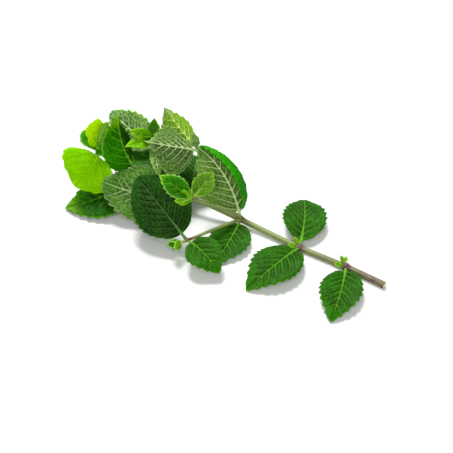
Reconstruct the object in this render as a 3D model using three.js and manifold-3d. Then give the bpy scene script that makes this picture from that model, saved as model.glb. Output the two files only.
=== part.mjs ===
// A sprig of garden mint, as cut, lying on a flat surface. A square stem carries pairs of toothed leaves,
// each pair turned a quarter turn from the next, and four short side shoots that grow above the leaves.
//
// Millimetres, +Z up. The stem lies along X with its cut end at +X, flat on the surface, and its growing tip
// at -X, where it curves up. The origin is on the surface, at the middle of the sprig's outline.

import * as THREE from "three";
import { mergeVertices } from "three/addons/utils/BufferGeometryUtils.js";
import Module from "manifold-3d";

const wasm = await Module();
wasm.setup();

// ---------------------------------------------------------------------------------------------------------
// Driving dimensions
// ---------------------------------------------------------------------------------------------------------

// The middle of the sprig's outline, seen from above, in the coordinates of the lists below.
const OUTLINE_MIDDLE = new THREE.Vector3(-1.5, -2.5, 0);

const STEM_HALF_AT_CUT = 1.65; // half the stem's width across its flats
const STEM_HALF_AT_TIP = 0.9;
const STEM_CORNER = 0.32; // share of the half width that each corner is cut back by
const JOINT_SWELLING = 0.3; // how much thicker the stem is where a pair of leaves grows
const JOINT_REACH = 2.6; // how far along the stem that swelling fades out

const SHOOT_HALF_AT_ROOT = 0.95;
const SHOOT_HALF_AT_TIP = 0.6;
const BUD_RADIUS = 1.3;

const GROWTH_GAP = 0.3; // left between a leaf's stalk, or a shoot, and what it grows from

const BLADE_THICKNESS = 0.8;
const BLADE_TIP_HALF_WIDTH = 0.25;
const STALK_THICKNESS = 1.5;
const STALK_END_THICKNESS = 1.1;
const STALK_HALF_WIDTH = 0.85;
const STALK_LENGTH = 5.0; // from the stem's middle to the blade, on a full-sized leaf
const FULL_SIZED_LEAF = 45; // a shorter leaf has its stalk and its teeth in proportion

const TOOTH_PITCH = 4.2; // along the margin of a large leaf
const SMALL_TOOTH_PITCH = 3.4;
const TOOTH_DEPTH = 1.25;
const TOOTH_LEAN = 0.35; // share of a half pitch that each tooth leans towards the leaf's tip
const QUILTING = 0.35; // how far the blade swells between two side veins

const WIDEST_AT = 0.4; // the widest place of a blade, as a share of its length
const BASE_FULLNESS = 0.66; // below 1, the outline is fuller than a sine
const ROLL_FROM = 0.5; // where a rolled margin begins, as a share of the half width
const MIDRIB_REACH = 0.36; // how far the ends of a midrib keep their direction, as a share of its length
const MARGIN_WAVES = 1.5;
const MARGIN_PHASES = [2.2, 0.6]; // of the left margin's waves and of the right margin's

// The stem's line from the cut end to the growing tip: x, y and the height of its underside.
const STEM_LINE = [
  [99, 2, 0],
  [74, 3.5, 0],
  [44, 3.5, 0],
  [4, 4, 2.5],
  [-28, 0, 8.5],
  [-64, -5, 14.5],
  [-83.5, -13, 26.5],
  [-85.1, -13.7, 29],
  [-85.9, -14, 30.6],
];
// Where on STEM_LINE each pair of leaves grows, counted from the cut end.
const JOINTS = [1, 2, 3, 4, 5, 6];

// Each large leaf: the joint that it grows from, where its tip lies, the way its upper side faces, its width,
// the angles at which it leaves the stem above the straight line to its tip and comes down to the tip, the
// slope of its two halves up from the midrib, how far its margins curl back down, its sideways sweep, the
// wave of its margins, how pointed its tip is and, where its right margin is rolled under, by how many
// degrees. The lowest pair has lost one leaf.
const STEM_LEAVES = [
  { name: "leaf_0_low", joint: 0, tip: [87, -38, 0.4], face: [0, -0.1, 1], width: 25,
    rise: 14, droop: 18, fold: 0.14, curl: 0.05, sway: 0.04, wave: 0.4, point: 0.95 },
  { name: "leaf_1_front", joint: 1, tip: [36, -42, 0.4], face: [0, -0.1, 1], width: 29,
    rise: 22, droop: 22, fold: 0.12, curl: 0.05, sway: 0.05, wave: 0.5, point: 0.95 },
  { name: "leaf_1_back", joint: 1, tip: [24, 43, 0.4], face: [0, 0.1, 1], width: 27,
    rise: 24, droop: 24, fold: 0.16, curl: 0.06, sway: -0.04, wave: 0.5, point: 0.95 },
  { name: "leaf_2_top", joint: 2, tip: [-30, 11, 38.5], face: [-0.6, 0.55, -0.35], width: 35,
    rise: -4, droop: -34, fold: 0.2, curl: 0.1, sway: 0.12, wave: 0.5, point: 0.7, roll: 130 },
  { name: "leaf_2_low", joint: 2, tip: [10, -34, 0.4], face: [0.05, -0.1, 1], width: 25,
    rise: 4, droop: 14, fold: 0.14, curl: 0.08, sway: 0.04, wave: 0.3, point: 0.95 },
  { name: "leaf_3_front", joint: 3, tip: [-74, -25, 18], face: [0.2, -0.62, 0.76], width: 37,
    rise: 26, droop: 18, fold: 0.1, curl: 0.16, sway: 0.1, wave: 0.7, point: 0.55 },
  { name: "leaf_3_back", joint: 3, tip: [-51, 43, 0.4], face: [0.05, 0.35, 0.93], width: 38,
    rise: 22, droop: 24, fold: 0.16, curl: 0.1, sway: 0.05, wave: 0.6, point: 0.9 },
  { name: "leaf_4_top", joint: 4, tip: [-74.6, -5.6, 55.4], face: [-0.94, 0.02, -0.3], width: 26,
    rise: -6, droop: 4, fold: 0.6, curl: 0.12, sway: -0.14, wave: 0.5, point: 1 },
  { name: "leaf_4_low", joint: 4, tip: [-92, -41, 0.6], face: [-0.1, -0.45, 0.88], width: 33,
    rise: -14, droop: 8, fold: 0.16, curl: 0.08, sway: 0.12, wave: 0.5, point: 0.95 },
  { name: "leaf_5_front", joint: 5, tip: [-89.8, -32.6, 12.8], face: [0.42, -0.63, 0.66], width: 38,
    rise: 24, droop: 20, fold: 0.1, curl: 0.1, sway: 0.02, wave: 0.4, point: 0.78 },
  { name: "leaf_5_back", joint: 5, tip: [-102, -6, 33], face: [-0.1, 0.1, 0.98], width: 16,
    rise: 14, droop: 22, fold: 0.25, curl: 0.1, sway: 0.03, wave: 0.5, point: 0.9 },
];

// Each side shoot: its line from the stem's middle to its own tip, the large leaves that it carries and where
// on that line they grow, its separate small leaves, and the pairs of small leaves that crown its tip, as
// their lengths, how far the outer pair opens and how far it is turned about the shoot.
const SIDE_SHOOTS = [
  {
    name: "side_shoot_2_low",
    line: [[4, 3, 4.6], [2, -9, 8.6], [-2, -21, 10.4], [-8.6, -33.5, 9.8], [-10.5, -37, 9.8]],
    leaves: [
      { name: "shoot_2_low_leaf_left", at: 3, tip: [-54, -17, 25], face: [0.13, -0.54, 0.83], width: 36,
        rise: 10, droop: 22, fold: 0.1, curl: 0.12, sway: 0, wave: 0.7, point: 0.66 },
      { name: "shoot_2_low_leaf_right", at: 3, tip: [19, -42, 5], face: [0, -0.2, 0.97], width: 22,
        rise: 22, droop: 22, fold: 0.16, curl: 0.1, sway: 0.04, wave: 0.5, point: 0.95 },
    ],
    small: [],
    crown: { lengths: [10, 7], opening: 36, turn: 30 },
  },
  {
    name: "side_shoot_2_top",
    line: [[4, 4, 6], [-1, -2, 13], [-7, -11, 21], [-14.5, -20, 28.5]],
    leaves: [],
    small: [
      { tip: [-35, -21.5, 37.5], face: [0.2, -0.5, 0.8], width: 13 },
      { tip: [-13, 1, 34], face: [0.3, -0.7, 0.6], width: 13 },
    ],
    crown: { lengths: [11, 7], opening: 50, turn: 60 },
  },
  {
    name: "side_shoot_3_front",
    line: [[-29, -0.4, 11], [-37.5, 2, 14.5], [-50.5, 5, 19], [-59.2, 8.3, 25], [-60, 7.5, 34]],
    leaves: [
      { name: "shoot_3_front_leaf", at: 3, tip: [-96, 13.5, 37], face: [0.16, -0.5, 0.8], width: 24,
        rise: -4, droop: 14, fold: 0.2, curl: 0.1, sway: 0, wave: 0.7, point: 0.7 },
      { name: "shoot_3_front_leaf_low", at: 1.9, tip: [-76.5, 7.5, 19.5], face: [0.1, -0.1, 0.99], width: 22,
        rise: 6, droop: 12, fold: 0.16, curl: 0.1, sway: 0, wave: 0.5, point: 0.9 },
    ],
    small: [
      { tip: [-66, -12, 39], face: [0.2, -0.5, 0.8], width: 9 },
      { tip: [-69, -3.5, 44.5], face: [0.3, -0.5, 0.8], width: 9 },
      { tip: [-41.8, -12.8, 26], face: [0.5, -0.6, 0.6], width: 8 },
    ],
    crown: { lengths: [14, 10], opening: 38, turn: 155 },
  },
  {
    name: "side_shoot_3_back",
    line: [[-27.5, 0.8, 10], [-30, 9, 13.5], [-34, 15.5, 21], [-36, 19.5, 29], [-36.8, 19.2, 32]],
    leaves: [
      { name: "shoot_3_back_leaf_upper", at: 3, tip: [-61, 21, 49.5], face: [-0.62, 0.14, -0.77],
        width: 22, rise: 16, droop: 12, fold: 0.55, curl: 0.12, sway: 0.02, wave: 0.6, point: 1.1 },
      { name: "shoot_3_back_leaf_front", at: 2.9, tip: [-53.5, -9.5, 46.5], face: [-0.74, -0.09, -0.66],
        width: 32, rise: -16, droop: -14, fold: 0.45, curl: 0.05, sway: -0.05, wave: 0.6, point: 1.6 },
    ],
    small: [],
    crown: { lengths: [9, 6], opening: 30, turn: 20 },
  },
];

// The small leaves round the main stem's own growing tip.
const GROWING_TIP = {
  name: "growing_tip",
  small: [
    { tip: [-87.6, -8.4, 49], face: [-0.6, 0.6, -0.4], width: 14 },
    { tip: [-82.5, -6, 47], face: [-0.5, 0.3, -0.6], width: 11 },
    { tip: [-78.5, -14.5, 30], face: [0.3, -0.6, 0.7], width: 9 },
  ],
  crown: { lengths: [7, 5], opening: 40, turn: 60 },
};

// The form that all separate small leaves share, and that all crown leaves share.
const SMALL_LEAF = { rise: 12, droop: 16, fold: 0.3, curl: 0.15, sway: 0, wave: 0.3, point: 1, roll: 0 };
const CROWN_LEAF = { rise: -10, droop: -12, fold: 0.35, curl: 0.1, sway: 0, wave: 0.2, point: 1, roll: 0 };
const CROWN_LEAF_WIDTH = 0.62; // share of its length
const CROWN_PAIR_SPACING = 1.2; // along the shoot
const CROWN_CLOSING = 0.3; // share of the outer pair's opening that each further pair opens less by

const COLOURS = { stem: 0x6d7a35, leaf: 0x3f7d1c, youngLeaf: 0x86b81f };
const FIRST_YOUNG_JOINT = 5;

// How finely the shapes are divided.
const STEM_STEPS_BETWEEN_JOINTS = 3;
const STEM_SHORTEST_STEP = 0.02; // in STEM_LINE's stations
const SHOOT_STEPS = 10;
const BLADE_COLUMNS = 5; // one of them lies where a rolled margin begins
const SMALL_BLADE_COLUMNS = 3;
const SMALL_BLADE_FEWEST_TEETH = 3;
const BUD_SIDES = 8;
const BUD_RINGS = 6;

// ---------------------------------------------------------------------------------------------------------
// Solids
// ---------------------------------------------------------------------------------------------------------

const vector = ([x, y, z]) => new THREE.Vector3(x, y, z);
const lerp = THREE.MathUtils.lerp;
const radians = THREE.MathUtils.degToRad;

function geometryFrom(points, faces) {
  const geometry = new THREE.BufferGeometry();
  geometry.setAttribute("position", new THREE.Float32BufferAttribute(points, 3));
  geometry.setIndex(faces);
  return geometry;
}

// Joins rings of points, each with the same number in the same order, into one closed skin with flat ends.
function skinOver(rings) {
  const sides = rings[0].length;
  const faces = [];
  for (let ring = 0; ring + 1 < rings.length; ring++) {
    for (let k = 0; k < sides; k++) {
      const a = ring * sides + k;
      const b = ring * sides + ((k + 1) % sides);
      faces.push(a, b, b + sides, a, b + sides, a + sides);
    }
  }
  const last = (rings.length - 1) * sides;
  for (let k = 1; k + 1 < sides; k++) {
    faces.push(0, k + 1, k);
    faces.push(last, last + k, last + k + 1);
  }
  return geometryFrom(rings.flat().flatMap((p) => [p.x, p.y, p.z]), faces);
}

function solidFrom(geometry) {
  const merged = mergeVertices(geometry);
  const mesh = new wasm.Mesh({
    numProp: 3,
    vertProperties: merged.attributes.position.array,
    triVerts: new Uint32Array(merged.index.array),
  });
  return new wasm.Manifold(mesh);
}

function geometryOf(solid) {
  const mesh = solid.getMesh();
  return geometryFrom(Array.from(mesh.vertProperties), Array.from(mesh.triVerts));
}

// The solid without what lies inside the others; of what is left, only the largest piece.
function cutBy(solid, others) {
  const rest = others.reduce((left, other) => left.subtract(other), solid);
  return rest.decompose().sort((a, b) => b.volume() - a.volume())[0];
}

// ---------------------------------------------------------------------------------------------------------
// Stems
// ---------------------------------------------------------------------------------------------------------

// A square with its corners cut back, across a line that runs along forward.
function squareRing(centre, forward, half) {
  const side = new THREE.Vector3(0, 0, 1).cross(forward).normalize();
  const upward = forward.clone().cross(side);
  const inner = half * (1 - STEM_CORNER);
  const corners = [
    [half, inner], [inner, half], [-inner, half], [-half, inner],
    [-half, -inner], [-inner, -half], [inner, -half], [half, -inner],
  ];
  return corners.map(([s, u]) => centre.clone().addScaledVector(side, s).addScaledVector(upward, u));
}

const lineThrough = (points) => new THREE.CatmullRomCurve3(points.map(vector), false, "centripetal");
const stemUnderside = lineThrough(STEM_LINE);

// The middle of the main stem at a station of STEM_LINE, which may lie between two of its points.
function stemMiddle(station) {
  const share = station / (STEM_LINE.length - 1);
  const point = stemUnderside.getPoint(share);
  const toJoint = Math.min(...JOINTS.map((joint) => point.distanceTo(vector(STEM_LINE[joint]))));
  const swelling = JOINT_SWELLING * Math.max(0, 1 - toJoint / JOINT_REACH);
  const half = lerp(STEM_HALF_AT_CUT, STEM_HALF_AT_TIP, share) + swelling;
  return { centre: point.setZ(Math.max(0, point.z) + half), forward: stemUnderside.getTangent(share), half };
}

// The stations where the main stem has a ring: a few between joints, and one each side of a joint.
function stemStations() {
  const stations = [STEM_LINE.length - 1];
  for (let i = 0; i + 1 < STEM_LINE.length; i++) {
    for (let k = 0; k < STEM_STEPS_BETWEEN_JOINTS; k++) stations.push(i + k / STEM_STEPS_BETWEEN_JOINTS);
  }
  for (const joint of JOINTS) {
    for (const direction of [-1, 1]) {
      const spacing = vector(STEM_LINE[joint + direction]).distanceTo(vector(STEM_LINE[joint]));
      stations.push(joint + (direction * JOINT_REACH) / spacing);
    }
  }
  const sorted = stations.sort((a, b) => a - b);
  return sorted.filter((station, i) => i === 0 || station - sorted[i - 1] > STEM_SHORTEST_STEP);
}

// The main stem, thicker all round by extra.
function mainStem(extra) {
  const rings = stemStations().map((station) => {
    const { centre, forward, half } = stemMiddle(station);
    return squareRing(centre, forward, half + extra);
  });
  return solidFrom(skinOver(rings));
}

// A side shoot's own stem, thicker all round by extra.
function shootStem(shoot, extra) {
  const curve = lineThrough(shoot.line);
  const rings = [];
  for (let i = 0; i <= SHOOT_STEPS; i++) {
    const share = i / SHOOT_STEPS;
    const half = lerp(SHOOT_HALF_AT_ROOT, SHOOT_HALF_AT_TIP, share) + extra;
    rings.push(squareRing(curve.getPoint(share), curve.getTangent(share), half));
  }
  return solidFrom(skinOver(rings));
}

// ---------------------------------------------------------------------------------------------------------
// Leaves
// ---------------------------------------------------------------------------------------------------------

// The line of a leaf's midrib, from the middle of the stem to the leaf's tip.
function midrib(leaf) {
  const tip = vector(leaf.tip);
  const chord = tip.clone().sub(leaf.root);
  const along = chord.clone().normalize();
  const side = vector(leaf.face).cross(along).normalize();
  const leaving = along.clone().applyAxisAngle(side, -radians(leaf.rise));
  const arriving = along.clone().applyAxisAngle(side, radians(leaf.droop));
  const reach = MIDRIB_REACH * chord.length();
  const sweep = side.multiplyScalar(leaf.sway * chord.length());
  return new THREE.CubicBezierCurve3(
    leaf.root,
    leaf.root.clone().addScaledVector(leaving, reach).add(sweep),
    tip.clone().addScaledVector(arriving, -reach).add(sweep),
    tip,
  );
}

// Half the width of a blade without its teeth, at a share of its length.
function outlineHalf(leaf, share) {
  const bend = Math.log(0.5) / Math.log(WIDEST_AT);
  const swell = Math.sin(Math.PI * Math.pow(share, bend));
  return (leaf.width / 2) * Math.pow(swell, lerp(BASE_FULLNESS, leaf.point, share));
}

// How high the blade stands above its midrib, at a share of its length and v across it, from -1 to 1.
// Its rows lie in turn along a side vein, which ends in a tooth, and between two of them, where it swells.
function bladeLift(leaf, size, half, share, v, onVein) {
  const slope = half * (leaf.fold * Math.abs(v) - leaf.curl * v * v);
  const phase = MARGIN_PHASES[v > 0 ? 1 : 0];
  const ripple = leaf.wave * v * v * Math.sin(2 * Math.PI * MARGIN_WAVES * share + phase);
  const isMarginOrMidrib = v === 0 || Math.abs(v) === 1;
  const swelling = isMarginOrMidrib ? 0 : (onVein ? -QUILTING : QUILTING) * size;
  return slope + ripple + swelling;
}

// Where the middle of a blade's thickness lies at v across it: how far out, how high and how far it is turned
// down there. Beyond ROLL_FROM a rolled margin is folded down and back.
function bladeSection(leaf, size, half, share, v, onVein) {
  const roll = radians(leaf.roll);
  const flat = leaf.roll ? Math.min(v, ROLL_FROM) : v;
  const flap = half * (v - flat);
  const beyond = leaf.roll ? (v - ROLL_FROM) / (1 - ROLL_FROM) : -1;
  const turnedShare = THREE.MathUtils.clamp((beyond + 1) / 2, 0, 1);
  return {
    out: flat * half + flap * Math.cos(roll),
    lift: bladeLift(leaf, size, half, share, flat, onVein) - flap * Math.sin(roll),
    turn: roll * turnedShare,
    mitre: 1 / Math.cos(roll * Math.min(turnedShare, 1 - turnedShare)),
  };
}

// A leaf as one closed skin: the stalk, then the blade with its teeth.
function leafSolid(leaf, teeth, columns) {
  const curve = midrib(leaf);
  const length = curve.getLength();
  const size = Math.min(1, length / FULL_SIZED_LEAF);
  const stalk = STALK_LENGTH * size;

  // One ring of the skin, along the upper side from margin to margin and back along the underside.
  const ringAt = (distance, thickness, sectionAt) => {
    const point = curve.getPointAt(distance / length);
    const forward = curve.getTangentAt(distance / length);
    const across = vector(leaf.face).cross(forward).normalize();
    const upward = forward.clone().cross(across);
    const upper = [];
    const under = [];
    for (let column = 0; column < columns; column++) {
      const { out, lift, turn, mitre } = sectionAt((2 * column) / (columns - 1) - 1);
      const middle = point.clone().addScaledVector(across, out).addScaledVector(upward, lift);
      const facing = upward.clone().multiplyScalar(Math.cos(turn)).addScaledVector(across, Math.sin(turn));
      upper.unshift(middle.clone().addScaledVector(facing, (mitre * thickness) / 2));
      under.push(middle.clone().addScaledVector(facing, (-mitre * thickness) / 2));
    }
    return [...upper, ...under];
  };

  const flatAcross = (half) => (v) => ({ out: v * half, lift: 0, turn: 0, mitre: 1 });
  const rings = [0, 0.5, 0.9].map((share) => {
    const thickness = lerp(STALK_THICKNESS, STALK_END_THICKNESS, share) * size;
    return ringAt(stalk * share, thickness, flatAcross(STALK_HALF_WIDTH * size));
  });
  for (let row = 1; row < 2 * teeth; row++) {
    const onVein = row % 2 === 1;
    const share = (row + (onVein ? TOOTH_LEAN : 0)) / (2 * teeth);
    const notch = onVein ? 0 : TOOTH_DEPTH * size;
    const half = outlineHalf(leaf, share) - notch;
    const sectionAt = (v) => bladeSection(leaf, size, half, share, v, onVein);
    rings.push(ringAt(lerp(stalk, length, share), BLADE_THICKNESS, sectionAt));
  }
  rings.push(ringAt(length, BLADE_THICKNESS, flatAcross(BLADE_TIP_HALF_WIDTH)));
  return solidFrom(skinOver(rings));
}

function largeLeaf(leaf, root) {
  const teeth = Math.round(root.distanceTo(vector(leaf.tip)) / TOOTH_PITCH);
  return leafSolid({ roll: 0, ...leaf, root }, teeth, BLADE_COLUMNS);
}

function smallLeaf(leaf) {
  const teeth = Math.round(leaf.root.distanceTo(vector(leaf.tip)) / SMALL_TOOTH_PITCH);
  return leafSolid(leaf, Math.max(SMALL_BLADE_FEWEST_TEETH, teeth), SMALL_BLADE_COLUMNS);
}

// The small leaves round a growing tip, in pairs that turn by a quarter and open less towards the middle.
function crownLeaves(crown, tip, axis) {
  const start = new THREE.Vector3(0, 0, 1).cross(axis).normalize();
  return crown.lengths.flatMap((length, pair) => {
    const opening = radians(crown.opening * (1 - CROWN_CLOSING * pair));
    const root = tip.clone().addScaledVector(axis, CROWN_PAIR_SPACING * (pair - 1));
    return [0, 180].map((half) => {
      const outward = start.clone().applyAxisAngle(axis, radians(crown.turn + 90 * pair + half));
      const turnedBy = (cosine, sine) => axis.clone().multiplyScalar(cosine).addScaledVector(outward, sine);
      const end = root.clone().addScaledVector(turnedBy(Math.cos(opening), Math.sin(opening)), length);
      const face = turnedBy(Math.sin(opening), -Math.cos(opening)).toArray();
      return { ...CROWN_LEAF, root, tip: end.toArray(), face, width: CROWN_LEAF_WIDTH * length };
    });
  });
}

// A bud at a growing tip, with its small leaves sunk into it.
function crownSolid({ crown, small }, tip, axis) {
  const bud = new THREE.SphereGeometry(BUD_RADIUS, BUD_SIDES, BUD_RINGS);
  bud.deleteAttribute("normal");
  bud.deleteAttribute("uv");
  bud.translate(tip.x, tip.y, tip.z);
  const separate = small.map((leaf) => ({ ...SMALL_LEAF, ...leaf, root: tip.clone().sub(axis) }));
  return [...separate, ...crownLeaves(crown, tip, axis)]
    .map(smallLeaf)
    .reduce((whole, leaf) => whole.add(leaf), solidFrom(bud));
}

// ---------------------------------------------------------------------------------------------------------
// The sprig
// ---------------------------------------------------------------------------------------------------------

const sprig = new THREE.Group();

function addPiece(name, solid, colour) {
  const material = new THREE.MeshStandardMaterial({ color: colour, roughness: 0.6, metalness: 0 });
  const mesh = new THREE.Mesh(geometryOf(solid), material);
  mesh.name = name;
  mesh.position.copy(OUTLINE_MIDDLE).negate();
  sprig.add(mesh);
}

const stemSpace = mainStem(GROWTH_GAP);
const shootSpaces = SIDE_SHOOTS.map((shoot) => shootStem(shoot, GROWTH_GAP));

addPiece("main_stem", mainStem(0), COLOURS.stem);

for (const leaf of STEM_LEAVES) {
  const root = stemMiddle(JOINTS[leaf.joint]).centre;
  const solid = cutBy(largeLeaf(leaf, root), [stemSpace, ...shootSpaces]);
  addPiece(leaf.name, solid, leaf.joint >= FIRST_YOUNG_JOINT ? COLOURS.youngLeaf : COLOURS.leaf);
}

const stemEnd = stemMiddle(STEM_LINE.length - 1);
const budMiddle = stemEnd.centre.clone().addScaledVector(stemEnd.forward, BUD_RADIUS + GROWTH_GAP);
const growingTip = crownSolid(GROWING_TIP, budMiddle, stemEnd.forward);
addPiece(GROWING_TIP.name, cutBy(growingTip, [stemSpace]), COLOURS.youngLeaf);

SIDE_SHOOTS.forEach((shoot, i) => {
  const curve = lineThrough(shoot.line);
  const crown = crownSolid(shoot, curve.getPoint(1), curve.getTangent(1));
  addPiece(shoot.name, cutBy(shootStem(shoot, 0).add(crown), [stemSpace]), COLOURS.youngLeaf);
  for (const leaf of shoot.leaves) {
    const root = curve.getPoint(leaf.at / (shoot.line.length - 1));
    addPiece(leaf.name, cutBy(largeLeaf(leaf, root), [shootSpaces[i]]), COLOURS.leaf);
  }
});

export default sprig;
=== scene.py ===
# The looks of a sprig of garden mint: fine leaves, stems and small leaves in place of the plain solids.
#
# Lengths are in millimetres, in the coordinates of the lists below, until a piece is made.
import math
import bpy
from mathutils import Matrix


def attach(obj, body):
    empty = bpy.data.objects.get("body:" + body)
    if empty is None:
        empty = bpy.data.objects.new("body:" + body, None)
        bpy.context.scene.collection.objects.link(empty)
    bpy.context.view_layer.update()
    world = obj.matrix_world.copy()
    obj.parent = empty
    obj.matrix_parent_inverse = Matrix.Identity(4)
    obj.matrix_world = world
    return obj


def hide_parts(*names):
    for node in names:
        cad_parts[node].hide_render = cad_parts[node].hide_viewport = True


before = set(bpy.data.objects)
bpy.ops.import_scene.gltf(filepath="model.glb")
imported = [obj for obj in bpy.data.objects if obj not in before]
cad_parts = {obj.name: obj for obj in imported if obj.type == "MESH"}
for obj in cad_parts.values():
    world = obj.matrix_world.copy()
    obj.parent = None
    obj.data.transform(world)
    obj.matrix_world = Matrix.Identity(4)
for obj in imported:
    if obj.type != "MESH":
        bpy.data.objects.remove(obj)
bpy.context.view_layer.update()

import zlib
from collections import namedtuple

import bpy
import numpy as np
from mathutils import Matrix

MM = 0.001

# ---- The sprig's driving dimensions, as in the part's source ----

# The middle of the sprig's outline, seen from above, in the coordinates of the lists below.
OUTLINE_MIDDLE = np.array([-1.5, -2.5, 0])

STEM_HALF_AT_CUT = 1.65  # half the stem's width across its flats
STEM_HALF_AT_TIP = 0.9
JOINT_SWELLING = 0.3  # how much thicker the stem is where a pair of leaves grows
JOINT_REACH = 2.6  # how far along the stem that swelling fades out
SHOOT_HALF_AT_ROOT = 0.95
SHOOT_HALF_AT_TIP = 0.6
BUD_RADIUS = 1.3
GROWTH_GAP = 0.3
STALK_LENGTH = 5.0  # from the stem's middle to the blade, on a full-sized leaf
FULL_SIZED_LEAF = 45  # a shorter leaf has its stalk and its teeth in proportion
TOOTH_PITCH = 4.2  # along the margin of a large leaf
SMALL_TOOTH_PITCH = 3.4
TOOTH_DEPTH = 1.25
TOOTH_LEAN = 0.35  # share of a half pitch that each tooth leans towards the leaf's tip
WIDEST_AT = 0.4  # the widest place of a blade, as a share of its length
BASE_FULLNESS = 0.66  # below 1, the outline is fuller than a sine
ROLL_FROM = 0.5  # where a rolled margin begins, as a share of the half width
MIDRIB_REACH = 0.36  # how far the ends of a midrib keep their direction, as a share of its length
MARGIN_WAVES = 1.5
MARGIN_PHASES = (2.2, 0.6)  # of the left margin's waves and of the right margin's

# The stem's line from the cut end to the growing tip: x, y and the height of its underside.
STEM_LINE = [
    (99, 2, 0), (74, 3.5, 0), (44, 3.5, 0), (4, 4, 2.5), (-28, 0, 8.5),
    (-64, -5, 14.5), (-83.5, -13, 26.5), (-85.1, -13.7, 29), (-85.9, -14, 30.6),
]
# Where on STEM_LINE each pair of leaves grows, counted from the cut end.
JOINTS = (1, 2, 3, 4, 5, 6)

# Each large leaf: the joint that it grows from, or the station on its shoot's line, where its tip lies, the
# way its upper side faces, its width, the angles at which it leaves the stem and comes down to its tip, the
# slope of its two halves up from the midrib, how far its margins curl back down, its sideways sweep, the
# wave of its margins, how pointed its tip is, its look and, where its right margin is rolled under, by how
# many degrees.
Leaf = namedtuple(
    "Leaf", "name at tip face width rise droop fold curl sway wave point look roll", defaults=[0]
)
STEM_LEAVES = [
    Leaf("leaf_0_low", 0, (87, -38, 0.4), (0, -0.1, 1), 25,
         14, 18, 0.14, 0.05, 0.04, 0.4, 0.95, "mature"),
    Leaf("leaf_1_front", 1, (36, -42, 0.4), (0, -0.1, 1), 29,
         22, 22, 0.12, 0.05, 0.05, 0.5, 0.95, "mature"),
    Leaf("leaf_1_back", 1, (24, 43, 0.4), (0, 0.1, 1), 27,
         24, 24, 0.16, 0.06, -0.04, 0.5, 0.95, "mature"),
    Leaf("leaf_2_top", 2, (-30, 11, 38.5), (-0.6, 0.55, -0.35), 35,
         -4, -34, 0.2, 0.1, 0.12, 0.5, 0.7, "rolled", 130),
    Leaf("leaf_2_low", 2, (10, -34, 0.4), (0.05, -0.1, 1), 25,
         4, 14, 0.14, 0.08, 0.04, 0.3, 0.95, "mature"),
    Leaf("leaf_3_front", 3, (-74, -25, 18), (0.2, -0.62, 0.76), 37,
         26, 18, 0.1, 0.16, 0.1, 0.7, 0.55, "faded"),
    Leaf("leaf_3_back", 3, (-51, 43, 0.4), (0.05, 0.35, 0.93), 38,
         22, 24, 0.16, 0.1, 0.05, 0.6, 0.9, "mature"),
    Leaf("leaf_4_top", 4, (-74.6, -5.6, 55.4), (-0.94, 0.02, -0.3), 26,
         -6, 4, 0.6, 0.12, -0.14, 0.5, 1, "upright"),
    Leaf("leaf_4_low", 4, (-92, -41, 0.6), (-0.1, -0.45, 0.88), 33,
         -14, 8, 0.16, 0.08, 0.12, 0.5, 0.95, "glossy"),
    Leaf("leaf_5_front", 5, (-89.8, -32.6, 12.8), (0.42, -0.63, 0.66), 38,
         24, 20, 0.1, 0.1, 0.02, 0.4, 0.78, "young"),
    Leaf("leaf_5_back", 5, (-102, -6, 33), (-0.1, 0.1, 0.98), 16,
         14, 22, 0.25, 0.1, 0.03, 0.5, 0.9, "bright"),
]

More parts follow.
